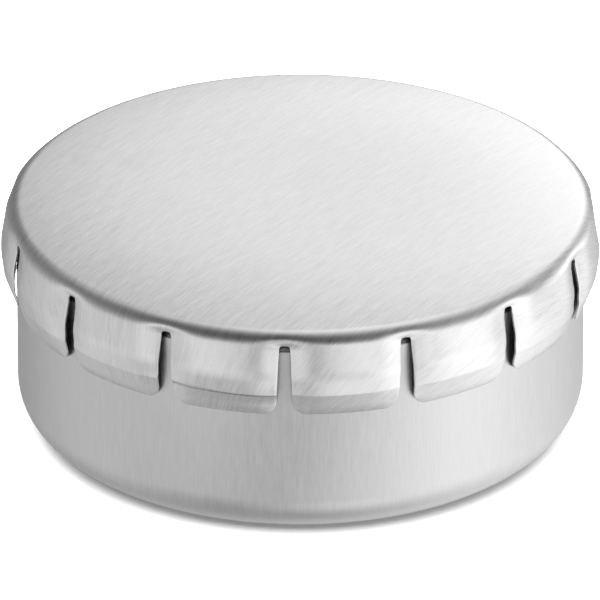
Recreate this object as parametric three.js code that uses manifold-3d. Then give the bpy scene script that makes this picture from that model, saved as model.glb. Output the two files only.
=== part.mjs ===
// Round press-to-open candle tin in thin tinplate, closed: a drawn cup with a rolled rim, and a
// pressed lid whose panel snaps between crowned and dished and whose skirt is slit into spring tabs.
// Millimetres, +Z up, origin on the axis at the underside of the foot, one slot facing -Y.
import * as THREE from 'three';
import { mergeVertices } from 'three/addons/utils/BufferGeometryUtils.js';
import Module from 'manifold-3d';

const wasm = await Module();
wasm.setup();

// Sheet and gaps
const SHEET = 0.25;            // tinplate gauge
const FLEX_GAP = 0.3;          // gap left along each line where the lid bends
const LID_SEAT_GAP = 0.3;      // between the rolled rim and the underside of the lid
const TAB_WALL_GAP = 0.2;      // between the cup wall and the tabs' lower edges

// Cup
const BODY_R = 38;             // outside of the wall
const BODY_CORNER = 5.8;       // round between floor and wall
const RIM_ROLL_R = 0.6;        // radius of the rolled rim's section
const RIM_PROUD = 0.1;         // how far the rolled rim stands out past the wall
const NECK_IN = 0.6;           // how far the wall is necked in under the rolled rim
const NECK_DROP = 2.7;         // from the rim's top down to where the neck starts
const NECK_RUN = 0.7;          // height over which the wall goes in
const FOOT_WIDTH = 5.7;        // flat width of the foot ring, inside the corner round
const FOOT_STEP = 0.5;         // how far the floor panel is raised inside the foot ring
const FOOT_STEP_RUN = 0.9;     // radial run of that step

// Lid
const LID_RIM_Z = 31.2;        // height of the panel where the shoulder starts
const PANEL_INSET = 0.6;       // how far inside the cup's wall that is
const CROWN_RISE = 1.1;        // rise of the panel's middle above its rim
const CROWN_POWER = 4;         // higher is flatter in the middle and steeper at the rim
const SHOULDER_OUT = 1.2;      // past the cup's wall, where panel and skirt would meet in a sharp corner
const SHOULDER_ROUND = 2.2;    // outside round on that corner
const RIDGE_OUT = 2.15;        // past the cup's wall, where the skirt is widest
const RIDGE_DROP = 6.2;        // from the panel's rim down to there
const RIDGE_ROUND = 6;         // outside round on that ridge
const LIP_OUT = 1.8;           // past the cup's wall, where the tabs' lips turn in
const LIP_DROP = 8.9;          // from the panel's rim down to there
const LIP_ROUND = 1.5;         // outside round where the lips turn in
const SKIRT_DROP = 12.3;       // from the panel's rim down to the tabs' lower edges

// Tabs and slots
const TABS = 15;
const SLOT_TOP_WIDTH = 1.45;
const SLOT_FOOT_WIDTH = 2.35;
const SLOT_TOP_DROP = 2;       // from the panel's rim down to the closed end of a slot
const SLOT_TOP_ROUND = 0.45;   // round on that end's corners
const TAB_CORNER = 2;          // round on each lower corner of a tab
const TAB_ROOT_DROP = 2.7;     // from the panel's rim down to the line where a tab bends

// Faceting
const TURN_STEPS = TABS * 4;
const ARC_STEP = THREE.MathUtils.degToRad(20);
const ROLL_STEPS = 8;
const CROWN_STEPS = 6;

const tabPitch = 2 * Math.PI / TABS;
const footInnerR = BODY_R - BODY_CORNER - FOOT_WIDTH;
const panelR = BODY_R - PANEL_INSET;
const shoulderR = BODY_R + SHOULDER_OUT;
const ridgeR = BODY_R + RIDGE_OUT;
const lipR = BODY_R + LIP_OUT;
const neckR = BODY_R - NECK_IN;
const tabRootZ = LID_RIM_Z - TAB_ROOT_DROP;
const skirtFootZ = LID_RIM_Z - SKIRT_DROP;
const bodyTop = panelZ(BODY_R) - SHEET - LID_SEAT_GAP;
const panelSplitR = BODY_R + RIM_PROUD - 2 * RIM_ROLL_R - FLEX_GAP;

const tinplate = { color: 0xc4c6c8, metalness: 1, roughness: 0.35 };
const brushedWall = { ...tinplate, color: 0xb4b6b9, roughness: 0.42 };

// Height of the panel's upper face at radius r
function panelZ(r) {
  return LID_RIM_Z + CROWN_RISE * (1 - (r / panelR) ** CROWN_POWER);
}

// Points along an arc in the section plane
function arc(centre, radius, from, to, steps) {
  return Array.from({ length: steps + 1 }, (_, i) => {
    const angle = from + (to - from) * i / steps;
    return new THREE.Vector2(centre.x + radius * Math.cos(angle), centre.y + radius * Math.sin(angle));
  });
}

// A line through corners [r, z, round], each inner corner with its round
function roundedLine(corners) {
  const at = corners.map(([r, z]) => new THREE.Vector2(r, z));
  const line = [at[0]];
  for (let i = 1; i < at.length - 1; i++) {
    const back = at[i - 1].clone().sub(at[i]).normalize();
    const ahead = at[i + 1].clone().sub(at[i]).normalize();
    const half = back.angleTo(ahead) / 2;
    const round = corners[i][2];
    const centre = at[i].clone().add(back.clone().add(ahead).setLength(round / Math.sin(half)));
    const start = at[i].clone().addScaledVector(back, round / Math.tan(half)).sub(centre).angle();
    const end = at[i].clone().addScaledVector(ahead, round / Math.tan(half)).sub(centre).angle();
    const turn = Math.atan2(Math.sin(end - start), Math.cos(end - start));
    const steps = Math.max(1, Math.ceil(Math.abs(turn) / ARC_STEP));
    line.push(...arc(centre, round, start, start + turn, steps));
  }
  line.push(at.at(-1));
  return line;
}

// The same line moved to its left by a distance, with its ends cut square
function offsetLine(line, distance) {
  const normals = line.slice(1).map((point, i) => {
    const way = point.clone().sub(line[i]).normalize();
    return new THREE.Vector2(-way.y, way.x);
  });
  return line.map((point, i) => {
    const before = normals[Math.max(0, i - 1)];
    const after = normals[Math.min(normals.length - 1, i)];
    const mitre = before.clone().add(after).normalize();
    return point.clone().addScaledVector(mitre, distance / mitre.dot(after));
  });
}

// A closed section turned about +Z, with its first column facing -Y
function turned(section) {
  return new THREE.LatheGeometry(section, TURN_STEPS).rotateX(Math.PI / 2);
}

function solid(geometry) {
  const bare = geometry.clone();
  bare.deleteAttribute('normal');
  bare.deleteAttribute('uv');
  const merged = mergeVertices(bare, 1e-4);
  const mesh = new wasm.Mesh({
    numProp: 3,
    vertProperties: new Float32Array(merged.attributes.position.array),
    triVerts: new Uint32Array(merged.index.array),
  });
  return new wasm.Manifold(mesh);
}

function geometryOf(manifold) {
  const mesh = manifold.getMesh();
  const geometry = new THREE.BufferGeometry();
  geometry.setAttribute('position', new THREE.BufferAttribute(mesh.vertProperties, 3));
  geometry.setIndex(new THREE.BufferAttribute(mesh.triVerts, 1));
  return geometry;
}

function named(name, geometry, finish) {
  const mesh = new THREE.Mesh(geometry, new THREE.MeshStandardMaterial(finish));
  mesh.name = name;
  return mesh;
}

// Cup: raised floor panel, foot ring, round corner, wall, neck and rolled rim in one drawn piece
function baseCup() {
  const rollAt = new THREE.Vector2(BODY_R + RIM_PROUD - RIM_ROLL_R, bodyTop - RIM_ROLL_R);
  const outside = roundedLine([
    [0, FOOT_STEP],
    [footInnerR - FOOT_STEP_RUN, FOOT_STEP, SHEET],
    [footInnerR, 0, 2 * SHEET],
    [BODY_R, 0, BODY_CORNER],
    [BODY_R, bodyTop - NECK_DROP, 2 * SHEET],
    [neckR, bodyTop - NECK_DROP + NECK_RUN, SHEET],
    [neckR, rollAt.y],
  ]);
  const inside = offsetLine(outside, SHEET);
  inside[0].x = 0;
  const rollStart = -Math.acos((neckR - rollAt.x) / RIM_ROLL_R);
  const rollEnd = 2 * Math.PI - Math.acos((neckR - SHEET - rollAt.x) / RIM_ROLL_R);
  const roll = arc(rollAt, RIM_ROLL_R, rollStart, rollEnd, ROLL_STEPS);
  return turned([...outside.slice(0, -1), ...roll, ...inside.slice(0, -1).reverse()]);
}

// Snap panel: the part of the lid's top that goes down inside the cup's rim
function lidDome() {
  const top = Array.from({ length: CROWN_STEPS + 1 }, (_, i) => {
    const r = panelSplitR * i / CROWN_STEPS;
    return new THREE.Vector2(r, panelZ(r));
  });
  const under = top.map(({ x, y }) => new THREE.Vector2(x, y - SHEET));
  return turned([...under, ...top.reverse()]);
}

// The lid's fixed edge and skirt as one turned shell, from the flex line down to the tabs' feet
function lidShell() {
  const innerR = panelSplitR + FLEX_GAP;
  const outside = roundedLine([
    [BODY_R + TAB_WALL_GAP + SHEET, skirtFootZ],
    [lipR, LID_RIM_Z - LIP_DROP, LIP_ROUND],
    [ridgeR, LID_RIM_Z - RIDGE_DROP, RIDGE_ROUND],
    [shoulderR, panelZ(shoulderR), SHOULDER_ROUND],
    [innerR, panelZ(innerR)],
  ]);
  const inside = offsetLine(outside, SHEET);
  return solid(turned([...outside, ...inside.reverse(), outside[0]]));
}

// A slot's outline, pushed out through the skirt: rounded top, widening sides, flared foot
function slotCutter() {
  const top = SLOT_TOP_WIDTH / 2;
  const foot = SLOT_FOOT_WIDTH / 2;
  const flat = top - SLOT_TOP_ROUND;
  const topZ = LID_RIM_Z - SLOT_TOP_DROP - SLOT_TOP_ROUND;
  const flareZ = skirtFootZ + TAB_CORNER;
  const below = skirtFootZ - SHEET;
  const outline = new THREE.Shape();
  outline.moveTo(-foot - TAB_CORNER, below);
  outline.absarc(-foot - TAB_CORNER, flareZ, TAB_CORNER, -Math.PI / 2, 0, false);
  outline.absarc(-flat, topZ, SLOT_TOP_ROUND, Math.PI, Math.PI / 2, true);
  outline.absarc(flat, topZ, SLOT_TOP_ROUND, Math.PI / 2, 0, true);
  outline.absarc(foot + TAB_CORNER, flareZ, TAB_CORNER, Math.PI, 1.5 * Math.PI, false);
  outline.lineTo(foot + TAB_CORNER, below);
  const nearR = BODY_R - RIM_ROLL_R;
  const depth = ridgeR + RIM_ROLL_R - nearR;
  const cutter = new THREE.ExtrudeGeometry(outline, { depth, bevelEnabled: false, curveSegments: 5 });
  return solid(cutter.translate(0, 0, nearR).rotateX(Math.PI / 2));
}

function slottedShell() {
  let shell = lidShell();
  const cutter = slotCutter();
  for (let i = 0; i < TABS; i++) {
    shell = shell.subtract(cutter.rotate([0, 0, THREE.MathUtils.radToDeg(tabPitch * i)]));
  }
  return shell;
}

// Everything above the line where the tabs bend
function lidShoulder(shell) {
  const keepFrom = tabRootZ + FLEX_GAP / 2;
  const height = 2 * (CROWN_RISE + TAB_ROOT_DROP);
  const keep = new THREE.BoxGeometry(3 * BODY_R, 3 * BODY_R, height).translate(0, 0, keepFrom + height / 2);
  return geometryOf(shell.intersect(solid(keep)));
}

// The tab between the slot facing -Y and the next one anticlockwise
function tab(shell) {
  const reach = 2 * ridgeR;
  const wedge = new THREE.Shape([
    new THREE.Vector2(0, 0),
    new THREE.Vector2(0, -reach),
    new THREE.Vector2(reach * Math.sin(tabPitch), -reach * Math.cos(tabPitch)),
  ]);
  const depth = tabRootZ - FLEX_GAP / 2;
  const keep = new THREE.ExtrudeGeometry(wedge, { depth, bevelEnabled: false });
  return geometryOf(shell.intersect(solid(keep)));
}

const tin = new THREE.Group();
const shell = slottedShell();
tin.add(named('base_cup', baseCup(), brushedWall));
tin.add(named('lid_dome', lidDome(), tinplate));
tin.add(named('lid_shoulder', lidShoulder(shell), tinplate));

const tabShape = tab(shell);
for (let i = 0; i < TABS; i++) {
  const piece = named(`tab_${String(i + 1).padStart(2, '0')}`, tabShape, tinplate);
  piece.rotation.z = tabPitch * i;
  tin.add(piece);
}

export default tin;
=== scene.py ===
"""Round press-to-open candle tin, closed: a drawn tinplate cup under a lid pressed from one disc,
whose crowned panel snaps down and whose skirt is slit into spring tabs."""
import math
import random

import bpy
from bpy.props import FloatProperty, IntProperty, PointerProperty, StringProperty
from mathutils import Matrix, Vector
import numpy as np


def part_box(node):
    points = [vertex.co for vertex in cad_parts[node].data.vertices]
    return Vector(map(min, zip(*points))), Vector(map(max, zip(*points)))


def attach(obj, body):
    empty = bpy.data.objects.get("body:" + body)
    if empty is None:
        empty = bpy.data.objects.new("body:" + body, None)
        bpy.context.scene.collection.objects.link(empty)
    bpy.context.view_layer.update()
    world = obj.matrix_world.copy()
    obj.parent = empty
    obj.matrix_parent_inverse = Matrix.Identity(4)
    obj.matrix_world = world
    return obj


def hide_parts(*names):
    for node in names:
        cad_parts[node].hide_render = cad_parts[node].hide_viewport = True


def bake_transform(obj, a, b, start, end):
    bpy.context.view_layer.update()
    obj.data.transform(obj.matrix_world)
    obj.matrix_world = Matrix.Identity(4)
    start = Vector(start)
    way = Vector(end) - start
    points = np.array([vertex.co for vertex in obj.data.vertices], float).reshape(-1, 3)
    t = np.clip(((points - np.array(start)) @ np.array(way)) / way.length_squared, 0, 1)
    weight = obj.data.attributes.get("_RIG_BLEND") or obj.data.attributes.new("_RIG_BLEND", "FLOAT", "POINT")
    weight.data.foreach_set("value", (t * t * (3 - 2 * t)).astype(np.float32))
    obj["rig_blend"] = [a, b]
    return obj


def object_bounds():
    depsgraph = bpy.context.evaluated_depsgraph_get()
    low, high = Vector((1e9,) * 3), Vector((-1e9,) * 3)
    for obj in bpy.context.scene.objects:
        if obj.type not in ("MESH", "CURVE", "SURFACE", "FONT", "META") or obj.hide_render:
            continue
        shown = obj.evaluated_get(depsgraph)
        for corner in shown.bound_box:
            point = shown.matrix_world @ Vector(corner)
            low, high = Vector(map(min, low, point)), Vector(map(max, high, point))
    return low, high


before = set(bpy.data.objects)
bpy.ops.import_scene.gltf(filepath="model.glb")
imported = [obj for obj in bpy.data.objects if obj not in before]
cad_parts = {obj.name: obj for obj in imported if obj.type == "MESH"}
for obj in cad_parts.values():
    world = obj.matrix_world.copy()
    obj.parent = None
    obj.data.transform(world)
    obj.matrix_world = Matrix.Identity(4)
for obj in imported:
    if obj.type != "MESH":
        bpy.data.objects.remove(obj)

bl_info = {
    "name": "Candle tin",
    "version": (1, 0, 0),
    "blender": (4, 5, 0),
    "location": "View3D > Sidebar > Candle tin",
    "description": "Models a press-to-open candle tin around its packed frame",
    "category": "Add Mesh",
}

MM = 0.001
TAU = 2 * math.pi
CAD_LOW, CAD_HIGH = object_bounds()
CUP_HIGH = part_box("base_cup")[1]
TAB_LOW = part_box("tab_01")[0]
TAB_NODES = sorted(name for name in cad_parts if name.startswith("tab_"))
TAB_PITCH = TAU / len(TAB_NODES)
CREASED_TAB = len(TAB_NODES) - 1
SPRING_BACK = 0.5              # degrees, the most that a tab springs back either way
DRAW_WIDTH = 2.6 * MM          # how far beside a slot the sheet is drawn in
EDGE_ROUND = 0.06 * MM         # round on a tab's sheared edges
CREASE_DEPTH = 0.45 * MM       # how far the creased lip is bent in
CREASE_HEIGHT = 0.6 * MM       # height over which it goes in
CREASE_FALL = 0.5 * MM         # how much lower the crease ends than it starts
SMALL_ROUND = 0.5 * MM         # the cup's foot step and the start of its neck


def length(name, description, default):
    """A size in metres that a user can change."""
    return FloatProperty(name=name, description=description, default=default, min=0,
                         unit="LENGTH", precision=5)


class TinSizes(bpy.types.PropertyGroup):
    """The sizes of the cup and the lid."""
    sheet: length("Sheet", "Tinplate gauge", 0.25 * MM)
    wall_radius: length("Wall radius", "Outside of the cup's wall", 38 * MM)
    corner_round: length("Corner round", "Round between the cup's floor and wall", 5.8 * MM)
    foot_width: length("Foot width", "Flat width of the ring the tin stands on", 5.7 * MM)
    foot_step: length("Foot step", "Rise of the floor panel inside the foot ring", 0.5 * MM)
    foot_step_run: length("Foot step run", "Radial run of that rise", 0.9 * MM)
    roll_radius: length("Roll radius", "Radius of the cup's rolled rim", 0.6 * MM)
    roll_proud: length("Roll proud", "How far the rolled rim stands past the wall", 0.1 * MM)
    neck_in: length("Neck in", "How far the wall is necked in under the rim", 0.6 * MM)
    neck_drop: length("Neck drop", "From the rim's top down to where the neck starts", 2.7 * MM)
    neck_run: length("Neck run", "Height over which the wall goes in", 0.7 * MM)
    crown_rise: length("Crown rise", "Rise of the panel's middle above its rim", 1.1 * MM)
    panel_inset: length("Panel inset", "From the cup's wall in to the panel's rim", 0.6 * MM)
    shoulder_out: length("Shoulder out", "From the wall out to the shoulder's corner", 1.2 * MM)
    shoulder_round: length("Shoulder round", "Round between panel and skirt", 2.2 * MM)
    ridge_out: length("Ridge out", "From the wall out to where the skirt is widest", 2.15 * MM)
    ridge_drop: length("Ridge drop", "From the panel's rim down to there", 6.2 * MM)
    ridge_round: length("Ridge round", "Round on that ridge", 6 * MM)
    lip_out: length("Lip out", "From the wall out to where the tabs' lips turn in", 1.8 * MM)
    lip_drop: length("Lip drop", "From the panel's rim down to there", 8.9 * MM)
    lip_round: length("Lip round", "Round where the lips turn in", 0.8 * MM)
    tab_gap: length("Tab gap", "From the wall out to the tabs' inner edges", 0.2 * MM)
    slot_top: length("Slot top", "Width of a slot at its closed end", 1.45 * MM)
    slot_round: length("Slot round", "Round on the closed end's corners", 0.45 * MM)
    slot_foot: length("Slot foot", "Width of a slot at the tabs' feet", 2.35 * MM)
    slot_drop: length("Slot drop", "From the panel's rim down to a slot's closed end", 2 * MM)
    tab_corner: length("Tab corner", "Round on a tab's lower corners", 2 * MM)
    turn_steps: IntProperty(name="Turn steps", description="Steps in a full turn", default=360, min=60)


class TinFinish(bpy.types.PropertyGroup):
    """The colours of the tin and of the studio."""
    lid_colour: StringProperty(name="Lid colour", description="Brushed tinplate of the lid", default="D6D6D6")
    cup_colour: StringProperty(name="Cup colour", description="Drawn tinplate of the cup", default="C4C4C4")
    floor_colour: StringProperty(name="Floor colour", description="Studio floor", default="F4F4F4")


def linear(hex_colour):
    """An sRGB hex colour as the linear RGBA that shaders use."""
    channels = [int(hex_colour[i:i + 2], 16) / 255 for i in (0, 2, 4)]
    return [c / 12.92 if c <= 0.04045 else ((c + 0.055) / 1.055) ** 2.4 for c in channels] + [1]


# ---------------------------------------------------------------- mesh work

def edit(piece):
    """Enters edit mode on one piece, with nothing in it selected."""
    bpy.ops.object.select_all(action="DESELECT")
    bpy.context.view_layer.objects.active = piece
    piece.select_set(True)
    bpy.ops.object.mode_set(mode="EDIT")
    bpy.ops.mesh.select_all(action="DESELECT")


def choose(piece, kind, test):
    """Selects the piece's vertices, edges or faces that pass a test, from edit mode."""
    bpy.ops.mesh.select_mode(type={"vertices": "VERT", "edges": "EDGE", "polygons": "FACE"}[kind])
    bpy.ops.mesh.select_all(action="DESELECT")
    bpy.ops.object.mode_set(mode="OBJECT")
    for element in getattr(piece.data, kind):
        element.select = test(element)
    bpy.ops.object.mode_set(mode="EDIT")


def trace(name, points):
    """Draws an open outline in the section plane: one vertex, extruded from point to point."""
    bpy.ops.object.select_all(action="DESELECT")
    bpy.ops.mesh.primitive_plane_add(size=MM, location=(0, 0, 0))
    piece = bpy.context.object
    piece.name = piece.data.name = name
    bpy.ops.object.mode_set(mode="EDIT")
    bpy.ops.mesh.merge(type="CENTER")
    bpy.ops.transform.translate(value=points[0])
    for start, end in zip(points, points[1:]):
        bpy.ops.mesh.extrude_vertices_move(TRANSFORM_OT_translate={"value": end - start})
    return piece


def round_corner(piece, point, radius, segments):
    """Rounds one corner of an outline to a radius."""
    mesh = piece.data
    bpy.ops.object.mode_set(mode="OBJECT")
    corner = min(mesh.vertices, key=lambda v: (v.co - point).length).index
    ends = [v for e in mesh.edges if corner in e.vertices for v in e.vertices if v != corner]
    ways = [mesh.vertices[v].co - mesh.vertices[corner].co for v in ends]
    offset = radius / math.tan(ways[0].angle(ways[1]) / 2)
    bpy.ops.object.mode_set(mode="EDIT")
    choose(piece, "vertices", lambda v: v.index == corner)
    bpy.ops.mesh.bevel(affect="VERTICES", offset_type="OFFSET", offset=offset, segments=segments, profile=0.5)


def mark_run(piece, start, run=0.0):
    """Stores on each vertex of an outline its distance along the sheet from the blank's middle."""
    bpy.ops.object.mode_set(mode="OBJECT")
    mesh = piece.data
    joined = {v.index: [] for v in mesh.vertices}
    for edge in mesh.edges:
        a, b = edge.vertices
        joined[a].append(b)
        joined[b].append(a)
    runs = mesh.attributes.new("run", "FLOAT", "POINT").data
    at = min(mesh.vertices, key=lambda v: (v.co - start).length).index
    before = None
    while at is not None:
        runs[at].value = run
        after = next((v for v in joined[at] if v != before), None)
        if after is not None:
            run += (mesh.vertices[after].co - mesh.vertices[at].co).length
        before, at = at, after
    bpy.ops.object.mode_set(mode="EDIT")


def turn(piece, angle, steps):
    """Turns the outline about the tin's axis and closes the mesh where its ends meet."""
    bpy.ops.mesh.select_all(action="SELECT")
    bpy.ops.mesh.spin(steps=steps, angle=angle, center=(0, 0, 0), axis=(0, 0, -1))
    bpy.ops.mesh.select_all(action="SELECT")
    bpy.ops.mesh.remove_doubles(threshold=0.002 * MM)
    bpy.ops.mesh.select_all(action="SELECT")
    bpy.ops.mesh.normals_make_consistent(inside=False)


def lay_grain(piece, grain_angle):
    """Writes a UV map of where each point was on the flat blank, in metres, U along the rolled grain."""
    mesh = piece.data
    blank = mesh.uv_layers.new(name="blank")
    runs = [item.value for item in mesh.attributes["run"].data]
    for loop in mesh.loops:
        vertex = mesh.vertices[loop.vertex_index]
        way = math.atan2(vertex.co.y, vertex.co.x) - grain_angle
        run = runs[vertex.index]
        blank.data[loop.index].uv = (run * math.cos(way), run * math.sin(way))


def draw_grain_upright(piece, radius, above):
    """Turns the blank's grain upright on the faces above a height, as drawing the wall does."""
    mesh = piece.data
    blank = mesh.uv_layers["blank"].data
    runs = [item.value for item in mesh.attributes["run"].data]
    for face in mesh.polygons:
        if face.center.z < above:
            continue
        middle = math.atan2(face.center.x, -face.center.y)
        for index in face.loop_indices:
            vertex = mesh.vertices[mesh.loops[index].vertex_index]
            way = math.atan2(vertex.co.x, -vertex.co.y)
            way += TAU * round((middle - way) / TAU)
            blank[index].uv = (runs[vertex.index], way * radius)


def apply_modifier(piece, kind, **settings):
    """Adds one modifier and applies it."""
    modifier = piece.modifiers.new(kind.title(), kind)
    for key, value in settings.items():
        setattr(modifier, key, value)
    bpy.ops.object.select_all(action="DESELECT")
    bpy.context.view_layer.objects.active = piece
    piece.select_set(True)
    bpy.ops.object.modifier_apply(modifier=modifier.name)


def finish_piece(piece, material, smooth_angle=math.radians(40)):
    """Leaves edit mode, shades the piece smooth but for its sharp edges, and gives it its finish."""
    if piece.mode == "EDIT":
        bpy.ops.object.mode_set(mode="OBJECT")
    bpy.ops.object.select_all(action="DESELECT")
    bpy.context.view_layer.objects.active = piece
    piece.select_set(True)
    bpy.ops.object.shade_smooth_by_angle(angle=smooth_angle)
    piece.data.materials.clear()
    piece.data.materials.append(material)


# ---------------------------------------------------------------- outlines

def section(r, z):
    """A point of the section plane, which is turned from straight in front of the tin."""
    return Vector((0, -r, z))


def panel_height(sizes, r):
    """Height of the lid panel's upper face, nearly flat in the middle and falling away at its rim."""
    rim_radius = sizes.wall_radius - sizes.panel_inset
    rim = CAD_HIGH.z - sizes.crown_rise
    return rim + sizes.crown_rise * (1 - (r / rim_radius) ** 4)


def root_level(sizes):
    """Height just under the slots' closed ends, where the tabs take over from the shoulder."""
    return CAD_HIGH.z - sizes.crown_rise - sizes.slot_drop - sizes.slot_round


def skirt_corners(sizes):
    """The corners of the skirt's outline: shoulder, ridge, lip and foot."""
    rim = CAD_HIGH.z - sizes.crown_rise
    shoulder = sizes.wall_radius + sizes.shoulder_out
    return (section(shoulder, panel_height(sizes, shoulder)),
            section(sizes.wall_radius + sizes.ridge_out, rim - sizes.ridge_drop),
            section(sizes.wall_radius + sizes.lip_out, rim - sizes.lip_drop),
            section(sizes.wall_radius + sizes.tab_gap + sizes.sheet, TAB_LOW.z))


def on_line(start, end, z):
    """The point at height z on a straight line."""
    return start.lerp(end, (z - start.z) / (end.z - start.z))


# ---------------------------------------------------------------- pieces

class TIN_OT_cup(bpy.types.Operator):
    """Draws the cup: floor, foot ring, corner, wall and rolled rim, turned and given its gauge"""
    bl_idname = "candle_tin.cup"
    bl_label = "Draw the cup"

    def execute(self, context):
        sizes = context.scene.tin_sizes
        radius = sizes.wall_radius
        foot_inner = radius - sizes.corner_round - sizes.foot_width
        roll_r = radius + sizes.roll_proud - sizes.roll_radius
        roll_z = CUP_HIGH.z - sizes.roll_radius
        step_top = section(foot_inner - sizes.foot_step_run, sizes.foot_step)
        step_foot = section(foot_inner, 0)
        corner = section(radius, 0)
        roll = [section(roll_r + sizes.roll_radius * math.cos(a), roll_z + sizes.roll_radius * math.sin(a))
                for a in (math.radians(x) for x in range(-100, 231, 15))]
        neck_foot = section(radius, CUP_HIGH.z - sizes.neck_drop)
        neck_top = section(radius - sizes.neck_in, CUP_HIGH.z - sizes.neck_drop + sizes.neck_run)
        points = [section(0, sizes.foot_step), step_top, step_foot, corner, neck_foot, neck_top, *roll]
        cup = trace("cup", points)
        round_corner(cup, corner, sizes.corner_round, 14)
        round_corner(cup, step_foot, SMALL_ROUND, 4)
        round_corner(cup, step_top, SMALL_ROUND, 4)
        round_corner(cup, neck_foot, SMALL_ROUND, 4)
        round_corner(cup, neck_top, 0.4 * MM, 4)
        mark_run(cup, points[0])
        turn(cup, TAU, sizes.turn_steps)
        bpy.ops.object.mode_set(mode="OBJECT")
        lay_grain(cup, math.radians(90))
        draw_grain_upright(cup, radius, sizes.corner_round / 2)
        apply_modifier(cup, "SOLIDIFY", thickness=sizes.sheet, offset=-1, use_even_offset=True)
        finish_piece(cup, tinplate("drawn_tinplate", context.scene.tin_finish.cup_colour, 0.36, 0.07, 0.35))
        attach(cup, "cup")
        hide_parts("base_cup")
        return {"FINISHED"}


def slot_cutter(sizes, name, turns):
    """A slot's outline pushed out through the skirt: rounded top, widening sides, flared foot."""
    top, foot = sizes.slot_top / 2, sizes.slot_foot / 2
    high = CAD_HIGH.z - sizes.crown_rise - sizes.slot_drop
    low = TAB_LOW.z - sizes.sheet
    near, far = sizes.wall_radius - 0.3 * MM, 2 * sizes.ridge_out + 0.3 * MM
    flare = sizes.tab_corner
    half = [Vector((top, -near, high)), Vector((foot, -near, TAB_LOW.z)),
            Vector((foot + flare, -near, TAB_LOW.z)), Vector((foot + flare, -near, low))]
    outline = [Vector((-p.x, p.y, p.z)) for p in reversed(half)] + half
    cutter = trace(name, outline)
    for side in (-1, 1):
        round_corner(cutter, Vector((side * top, -near, high)), sizes.slot_round, 5)
        round_corner(cutter, Vector((side * foot, -near, TAB_LOW.z)), flare, 10)
    bpy.ops.mesh.select_all(action="SELECT")
    bpy.ops.mesh.edge_face_add()
    bpy.ops.mesh.extrude_region_move(TRANSFORM_OT_translate={"value": (0, -far, 0)})
    bpy.ops.mesh.select_all(action="SELECT")
    bpy.ops.mesh.normals_make_consistent(inside=False)
    bpy.ops.object.mode_set(mode="OBJECT")
    copies = []
    for turns_on in turns:
        copy = cutter.copy()
        copy.data = cutter.data.copy()
        copy.data.transform(Matrix.Rotation(TAB_PITCH * turns_on, 4, "Z"))
        bpy.context.collection.objects.link(copy)
        copies.append(copy)
    bpy.data.objects.remove(cutter)
    bpy.ops.object.select_all(action="DESELECT")
    for copy in copies:
        copy.select_set(True)
    bpy.context.view_layer.objects.active = copies[0]
    bpy.ops.object.join()
    return copies[0]


def draw_in(sizes, piece):
    """Draws the sheet in beside the slots, most at their closed ends, as bending the tabs out does."""
    slot_end = CAD_HIGH.z - sizes.crown_rise - sizes.slot_drop
    # height above the slots' ends and how far the sheet is drawn in there, both in mm
    levels = ((1.6, 0), (1, 0.12), (0.5, 0.4), (0, 0.75), (-1.2, 0.85),
              (-3.2, 0.85), (-6, 0.65), (-8, 0.3), (-10.4, 0))
    for vertex in piece.data.vertices:
        height = (vertex.co.z - slot_end) / MM
        depth = 0
        for (high, at_high), (low, at_low) in zip(levels, levels[1:]):
            if low <= height <= high:
                depth = at_low + (at_high - at_low) * (height - low) / (high - low)
        r = vertex.co.xy.length
        turns = math.atan2(vertex.co.x, -vertex.co.y) / TAB_PITCH
        along = (turns - round(turns)) * TAB_PITCH * r
        depth *= MM * math.exp(-(along / DRAW_WIDTH) ** 2)
        vertex.co.xy *= 1 - depth / r if r else 1


def cut_slots(sizes, piece, turns):
    """Cuts the slots that stand at the given tab pitches from straight in front."""
    cutter = slot_cutter(sizes, "slot_cutter", turns)
    apply_modifier(piece, "BOOLEAN", operation="DIFFERENCE", object=cutter, solver="EXACT")
    bpy.data.objects.remove(cutter)


class TIN_OT_panel(bpy.types.Operator):
    """Presses the lid's crowned snap panel and the shoulder around it as one sheet"""
    bl_idname = "candle_tin.panel"
    bl_label = "Press the lid panel"

    def execute(self, context):
        sizes = context.scene.tin_sizes
        shoulder, ridge = skirt_corners(sizes)[:2]
        rim_radius = sizes.wall_radius - sizes.panel_inset
        crown = [section(r, panel_height(sizes, r))
                 for r in (rim_radius * math.sin(math.pi / 2 * i / 28) for i in range(28))]
        root = on_line(shoulder, ridge, root_level(sizes))
        panel = trace("lid_panel", [*crown, shoulder, root])
        round_corner(panel, shoulder, sizes.shoulder_round, 12)
        mark_run(panel, crown[0])
        turn(panel, TAU, sizes.turn_steps)
        bpy.ops.object.mode_set(mode="OBJECT")
        lay_grain(panel, GRAIN_ANGLE)
        apply_modifier(panel, "SOLIDIFY", thickness=sizes.sheet, offset=-1, use_even_offset=True)
        cut_slots(sizes, panel, range(len(TAB_NODES)))
        draw_in(sizes, panel)
        finish_piece(panel, lid_tinplate(context))
        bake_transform(panel, "lid", "snap_panel", start=section(rim_radius, CAD_HIGH.z), end=(0, 0, CAD_HIGH.z))
        share_travel_by_radius(panel, rim_radius)
        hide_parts("lid_dome", "lid_shoulder")
        return {"FINISHED"}


def share_travel_by_radius(panel, rim_radius):
    """The panel dishes evenly all round: still at its rim, the full travel at its middle.
"""
    shares = panel.data.attributes["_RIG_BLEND"].data
    for vertex in panel.data.vertices:
        r = vertex.co.xy.length / rim_radius
        shares[vertex.index].value = max(0, 1 - r ** 4)


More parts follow.
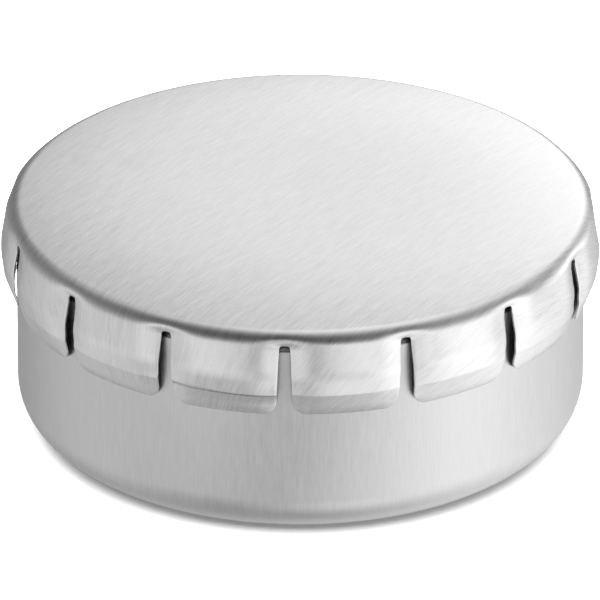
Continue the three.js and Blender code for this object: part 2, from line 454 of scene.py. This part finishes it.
class TIN_OT_tabs(bpy.types.Operator):
    """Bends one spring tab and copies it round the lid, each copy with its own mesh and bend"""
    bl_idname = "candle_tin.tabs"
    bl_label = "Bend the spring tabs"

    def execute(self, context):
        sizes = context.scene.tin_sizes
        shoulder, ridge, lip, foot = skirt_corners(sizes)
        root = on_line(shoulder, ridge, root_level(sizes))
        first = trace("tab", [root, *(root.lerp(ridge, share) for share in (0.15, 0.3, 0.5, 0.7)), ridge,
                              lip.lerp(ridge, 0.32), lip.lerp(ridge, 0.2), lip.lerp(ridge, 0.1), lip,
                              *(lip.lerp(foot, share) for share in (0.1, 0.2, 0.6, 1))])
        round_corner(first, ridge, sizes.ridge_round, 6)
        round_corner(first, lip, sizes.lip_round, 5)
        mark_run(first, root, run=root_run(sizes))
        turn(first, TAB_PITCH, sizes.turn_steps // len(TAB_NODES))
        bpy.ops.object.mode_set(mode="OBJECT")
        apply_modifier(first, "SOLIDIFY", thickness=sizes.sheet, offset=-1, use_even_offset=True)
        cut_slots(sizes, first, (0, 1))
        ease_edges(first, EDGE_ROUND, below=root.z - 0.1 * MM)
        draw_in(sizes, first)
        material = lid_tinplate(context)
        # The cut-edge finish: bare steel darkened as painted shade for the gap under the tabs' lips.
        edge = bare_steel_with_painted_shade()
        chance = random.Random(15)
        for i, name in enumerate(TAB_NODES):
            tab = first.copy()
            tab.data = first.data.copy()
            tab.name = tab.data.name = "spring_" + name
            context.collection.objects.link(tab)
            spring_back(tab, root, chance.uniform(-SPRING_BACK, SPRING_BACK))
            if i == CREASED_TAB:
                crease(tab, lip.z, TAB_LOW.z)
            tab.data.transform(Matrix.Rotation(TAB_PITCH * i, 4, "Z"))
            lay_grain(tab, GRAIN_ANGLE)
            finish_piece(tab, material)
            # The downward faces at the tabs' feet get the dark edge finish, which is partly bare steel and
            # partly painted shade for the gap between the lips and the cup's wall.
            tab.data.materials.append(edge)
            for face in tab.data.polygons:
                face.material_index = int(face.normal.z < -0.5 and face.center.z < TAB_LOW.z + sizes.sheet)
            middle = Matrix.Rotation(TAB_PITCH * (i + 0.5), 3, "Z")
            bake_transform(tab, "lid", name, start=middle @ root, end=middle @ (root - Vector((0, 0, 2.4 * MM))))
            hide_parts(name)
        bpy.data.objects.remove(first)
        return {"FINISHED"}


def ease_edges(piece, width, below):
    """Rounds the sharp edges below a height, as the sheared edges of a tab are."""
    edit(piece)
    bpy.ops.mesh.select_mode(type="EDGE")
    bpy.ops.mesh.edges_select_sharp(sharpness=math.radians(60))
    bpy.ops.object.mode_set(mode="OBJECT")
    sharp = {edge.index for edge in piece.data.edges if edge.select}
    bpy.ops.object.mode_set(mode="EDIT")
    choose(piece, "edges", lambda edge: edge.index in sharp
           and all(piece.data.vertices[v].co.z < below for v in edge.vertices))
    bpy.ops.mesh.bevel(affect="EDGES", offset=width, segments=2, profile=0.5)
    bpy.ops.object.mode_set(mode="OBJECT")


def spring_back(tab, root, degrees):
    """Tips a tab about its root by what the metal sprang back after the press."""
    middle = Matrix.Rotation(TAB_PITCH / 2, 3, "Z")
    across = middle @ Vector((1, 0, 0))
    pivot = middle @ root
    for vertex in tab.data.vertices:
        below = min(1, max(0, root.z - vertex.co.z) / (4 * MM))
        tip = Matrix.Rotation(math.radians(degrees) * below * below * (3 - 2 * below), 3, across)
        vertex.co = tip @ (vertex.co - pivot) + pivot


def crease(tab, high, foot):
    """Bends a tab's lip in hard along a line that runs downhill, then lets it run out at the foot."""
    for vertex in tab.data.vertices:
        line = high - CREASE_FALL * math.atan2(vertex.co.x, -vertex.co.y) / TAB_PITCH
        over = (line + CREASE_HEIGHT / 2 - vertex.co.z) / CREASE_HEIGHT
        out = min(1, max(0, (vertex.co.z - foot) / (line - CREASE_HEIGHT / 2 - foot)))
        vertex.co.xy *= 1 - CREASE_DEPTH * min(1, max(0, over)) * out / vertex.co.xy.length


def root_run(sizes):
    """Distance along the sheet from the blank's middle to a tab's root, nearly that of the flat lid."""
    shoulder, ridge = skirt_corners(sizes)[:2]
    root = on_line(shoulder, ridge, root_level(sizes))
    return sizes.wall_radius + sizes.shoulder_out + (shoulder - root).length - 0.43 * sizes.shoulder_round


# ---------------------------------------------------------------- finishes

GRAIN_ANGLE = math.radians(58)


def node(tree, kind, inputs=None, **settings):
    """Adds a shader node with its settings, and its inputs as values or links."""
    made = tree.nodes.new(kind)
    for key, value in settings.items():
        setattr(made, key, value)
    for key, value in (inputs or {}).items():
        if isinstance(value, bpy.types.NodeSocket):
            tree.links.new(value, made.inputs[key])
        else:
            made.inputs[key].default_value = value
    return made


def tinplate(name, colour, roughness, contrast, relief):
    """Tin-plated steel sheet as it comes off the mill: a soft mirror with a rolled grain one way."""
    if name in bpy.data.materials:
        return bpy.data.materials[name]
    material = bpy.data.materials.new(name)
    material.use_nodes = True
    tree = material.node_tree
    tree.nodes.clear()
    blank = node(tree, "ShaderNodeUVMap", uv_map="blank").outputs["UV"]
    # scratches 0.16 mm wide and 3.5 mm long, and rolling bands 0.9 mm wide and 9 mm long
    fine = streaks(tree, blank, across=0.16 * MM, along=3.5 * MM, detail=2)
    bands = streaks(tree, blank, across=0.9 * MM, along=9 * MM, detail=2)
    mixed = node(tree, "ShaderNodeMix", {"Factor": 0.3, 2: fine, 3: bands}, data_type="FLOAT").outputs[0]
    spread = node(tree, "ShaderNodeMapRange", {"Value": mixed, "From Min": 0.3,
                                               "From Max": 0.7}).outputs["Result"]
    rgba = linear(colour)
    dark = [c * (1 - contrast) for c in rgba[:3]] + [1]
    light = [min(1, c * (1 + contrast)) for c in rgba[:3]] + [1]
    tone = node(tree, "ShaderNodeMix", {"Factor": spread, 6: dark, 7: light}, data_type="RGBA").outputs[2]
    rough = node(tree, "ShaderNodeMapRange", {"Value": spread, "To Min": roughness - 0.05,
                                              "To Max": roughness + 0.05}).outputs["Result"]
    bump = node(tree, "ShaderNodeBump", {"Strength": relief, "Distance": 0.02 * MM, "Height": mixed})
    tangent = node(tree, "ShaderNodeTangent", direction_type="UV_MAP", uv_map="blank")
    shader = node(tree, "ShaderNodeBsdfPrincipled", {
        "Base Color": tone, "Metallic": 1.0, "Roughness": rough,
        "Anisotropic": 0.5, "Anisotropic Rotation": 0.25,
        "Normal": bump.outputs["Normal"], "Tangent": tangent.outputs["Tangent"]})
    node(tree, "ShaderNodeOutputMaterial", {"Surface": shader.outputs["BSDF"]})
    return material


def lid_tinplate(context):
    """The lid's finish, which its panel and its tabs share."""
    return tinplate("brushed_tinplate", context.scene.tin_finish.lid_colour, 0.3, 0.12, 0.4)


def bare_steel_with_painted_shade():
    """The sheet's cut edge at the tabs' feet: grey steel that the shears bared under the tin, made darker than
    steel as painted shade for the gap under the lips.
    """
    material = bpy.data.materials.new("sheared_steel_edge")
    material.use_nodes = True
    shader = material.node_tree.nodes["Principled BSDF"]
    # Darker than bare steel: painted shade for the gap under the tabs' lips.
    shader.inputs["Base Color"].default_value = linear("6A6A6A")
    shader.inputs["Metallic"].default_value = 1.0
    shader.inputs["Roughness"].default_value = 0.55
    return material


def streaks(tree, blank, across, along, detail):
    """Noise drawn out along the grain, for marks of a given width and length."""
    scaled = node(tree, "ShaderNodeMapping", {"Vector": blank, "Scale": (1 / along, 1 / across, 1)})
    noise = node(tree, "ShaderNodeTexNoise", {"Vector": scaled.outputs["Vector"], "Scale": 1.0,
                                              "Detail": detail, "Roughness": 0.6}, noise_dimensions="2D")
    return noise.outputs["Fac"]


# ---------------------------------------------------------------- studio

CAMERA_AZIMUTH = math.radians(3.07)
CAMERA_ELEVATION = math.radians(27.25)
BASE_LIGHT = 0.01
# Each lobe's azimuth and elevation in degrees, how tight it is, and its strength. The values come from
# a program's fit to wanted tones at the camera's angle, then nudged: they aren't lamps that were set up.
SOFT_LIGHTS = (
    (81, 21, 25, 1.75),
    (64, 67, 6.6, 1.32),
    (36, 3, 27, 1.7),
    (292, -2, 27, 1.12),
    (241, -11, 10, 0.92),
    (338, -18, 4.6, 1.59),
    (291, -45, 18, 0.79),
    (178, -26, 2.7, 0.89),
    (42, -44, 4.4, 1.11),
)


class TIN_OT_stage(bpy.types.Operator):
    """Sets the floor, the studio light and the camera"""
    bl_idname = "candle_tin.stage"
    bl_label = "Set the stage"

    def execute(self, context):
        self.floor(context)
        self.world(context)
        self.lamps()
        self.camera(context)
        context.scene.view_settings.view_transform = "Standard"
        return {"FINISHED"}

    def floor(self, context):
        bpy.ops.object.select_all(action="DESELECT")
        bpy.ops.mesh.primitive_plane_add(size=8, location=(0, 0, 0))
        floor = context.object
        floor.name = "floor"
        material = bpy.data.materials.new("matt_white_paper")
        material.use_nodes = True
        shader = material.node_tree.nodes["Principled BSDF"]
        shader.inputs["Base Color"].default_value = linear(context.scene.tin_finish.floor_colour)
        shader.inputs["Roughness"].default_value = 0.9
        floor.data.materials.append(material)
        floor.visible_glossy = False

    def world(self, context):
        """Dark surroundings with wide soft lights in them, which the tin's metal mirrors."""
        world = context.scene.world or bpy.data.worlds.new("studio")
        context.scene.world = world
        world.use_nodes = True
        tree = world.node_tree
        tree.nodes.clear()
        way = node(tree, "ShaderNodeTexCoord").outputs["Generated"]
        total = BASE_LIGHT
        for azimuth, elevation, tightness, strength in SOFT_LIGHTS:
            a, e = math.radians(azimuth), math.radians(elevation)
            towards = (math.cos(a) * math.cos(e), math.sin(a) * math.cos(e), math.sin(e))
            cosine = node(tree, "ShaderNodeVectorMath", {0: way, 1: towards}, operation="DOT_PRODUCT")
            fall = node(tree, "ShaderNodeMath", {0: cosine.outputs["Value"], 1: tightness, 2: -tightness},
                        operation="MULTIPLY_ADD")
            lobe = node(tree, "ShaderNodeMath", {0: fall.outputs[0]}, operation="EXPONENT")
            total = node(tree, "ShaderNodeMath", {0: lobe.outputs[0], 1: strength, 2: total},
                         operation="MULTIPLY_ADD").outputs[0]
        back = node(tree, "ShaderNodeBackground", {"Color": (1, 1, 1, 1), "Strength": total})
        node(tree, "ShaderNodeOutputWorld", {"Surface": back.outputs["Background"]})

    def lamps(self):
        """A wide lamp overhead that lights the floor and isn't mirrored in the metal."""
        bpy.ops.object.select_all(action="DESELECT")
        bpy.ops.object.light_add(type="AREA", location=(0, 0, 1.6))
        lamp = bpy.context.object
        lamp.name = "overhead"
        lamp.data.size = 3.4
        lamp.data.energy = 190
        lamp.visible_camera = False
        lamp.visible_glossy = False
        lamp.rotation_euler = (-lamp.location).to_track_quat("-Z", "Y").to_euler()

    def camera(self, context):
        """A long lens, so that the sides of the tin stay upright."""
        data = bpy.data.cameras.new("camera")
        camera = bpy.data.objects.new("camera", data)
        context.collection.objects.link(camera)
        data.lens, data.sensor_width = 850, 36
        data.clip_start, data.clip_end = 0.1, 20
        a, e = CAMERA_AZIMUTH, CAMERA_ELEVATION
        back = Vector((math.sin(a) * math.cos(e), -math.cos(a) * math.cos(e), math.sin(e)))
        right = Vector((math.cos(a), math.sin(a), 0))
        target = Vector((0, 0, 16.1 * MM)) - right * 0.06 * MM
        camera.location = target + back * 1.9
        camera.rotation_euler = (-back).to_track_quat("-Z", "Y").to_euler()
        context.scene.camera = camera


class TIN_PT_tin(bpy.types.Panel):
    """Lists the tin's pieces in the sidebar"""
    bl_idname = "TIN_PT_tin"
    bl_label = "Candle tin"
    bl_space_type = "VIEW_3D"
    bl_region_type = "UI"
    bl_category = "Candle tin"

    def draw(self, context):
        for operator in OPERATORS:
            self.layout.operator(operator.bl_idname)
        for name in TinSizes.__annotations__:
            self.layout.prop(context.scene.tin_sizes, name)
        for name in TinFinish.__annotations__:
            self.layout.prop(context.scene.tin_finish, name)


OPERATORS = (TIN_OT_stage, TIN_OT_cup, TIN_OT_panel, TIN_OT_tabs)
CLASSES = (TinSizes, TinFinish, *OPERATORS, TIN_PT_tin)


def register():
    for cls in CLASSES:
        bpy.utils.register_class(cls)
    bpy.types.Scene.tin_sizes = PointerProperty(type=TinSizes)
    bpy.types.Scene.tin_finish = PointerProperty(type=TinFinish)


def unregister():
    del bpy.types.Scene.tin_finish
    del bpy.types.Scene.tin_sizes
    for cls in reversed(CLASSES):
        bpy.utils.unregister_class(cls)


def main():
    register()
    bpy.ops.candle_tin.stage()
    bpy.ops.candle_tin.cup()
    bpy.ops.candle_tin.panel()
    bpy.ops.candle_tin.tabs()


if __name__ == "__main__":
    main()
